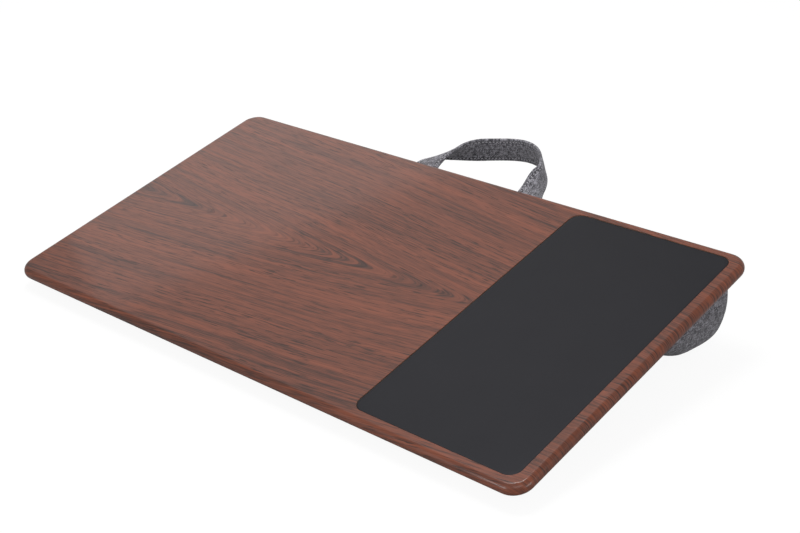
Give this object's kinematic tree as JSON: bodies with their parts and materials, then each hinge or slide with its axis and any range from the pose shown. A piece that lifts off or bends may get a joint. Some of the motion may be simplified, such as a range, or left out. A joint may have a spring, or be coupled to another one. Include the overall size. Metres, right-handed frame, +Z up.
{
  "type": "lap desk",
  "caption": "Lap desk: a rounded wood-grain board with a mouse pad let in flush at one end, tilted by fabric bolsters under it, and a swinging loop handle at its back edge.",
  "frame": {"origin": "centre of the whole footprint, handle included, on the surface that the bolsters stand on", "axes": "+X to the user's right along the board's long side, +Y to the back where the handle is, +Z up"},
  "size_m": [0.555, 0.367, 0.0904],
  "materials": {
    "core": "raw fibreboard",
    "foil": "satin printed wood grain",
    "backing": "matte",
    "pad_face": "fine matte grain",
    "pad_base": "matte",
    "adhesive": "matte film",
    "cloth": "plain backing cloth",
    "cover": "heather weave with fine ribs",
    "beads": "loose foam beads",
    "strap": "folded and stitched heather weave"
  },
  "bodies": {
    "desk": {"board_core": "core", "wood_foil": "foil", "backing_sheet": "backing", "mouse_pad_surface": "pad_face", "mouse_pad_base": "pad_base", "mouse_pad_adhesive": "adhesive", "cushion_adhesive": "adhesive", "base_cloth": "cloth", "valley_cloth": "cloth", "rear_bolster_cover": "cover", "rear_left_end_panel": "cover", "rear_right_end_panel": "cover", "front_bolster_cover": "cover", "front_left_end_panel": "cover", "front_right_end_panel": "cover", "rear_bolster_beads": "beads", "front_bolster_beads": "beads", "left_handle_tail": "strap", "right_handle_tail": "strap"},
    "handle": {"handle_loop": "strap"}
  },
  "joints": [
    {"name": "handle_swing", "type": "hinge", "parent": "desk", "child": "handle", "pos_m": [-0.004, 0.11439, 0.06499], "axis": [1, 0, 0], "range_deg": [-64, 90]}
  ]
}
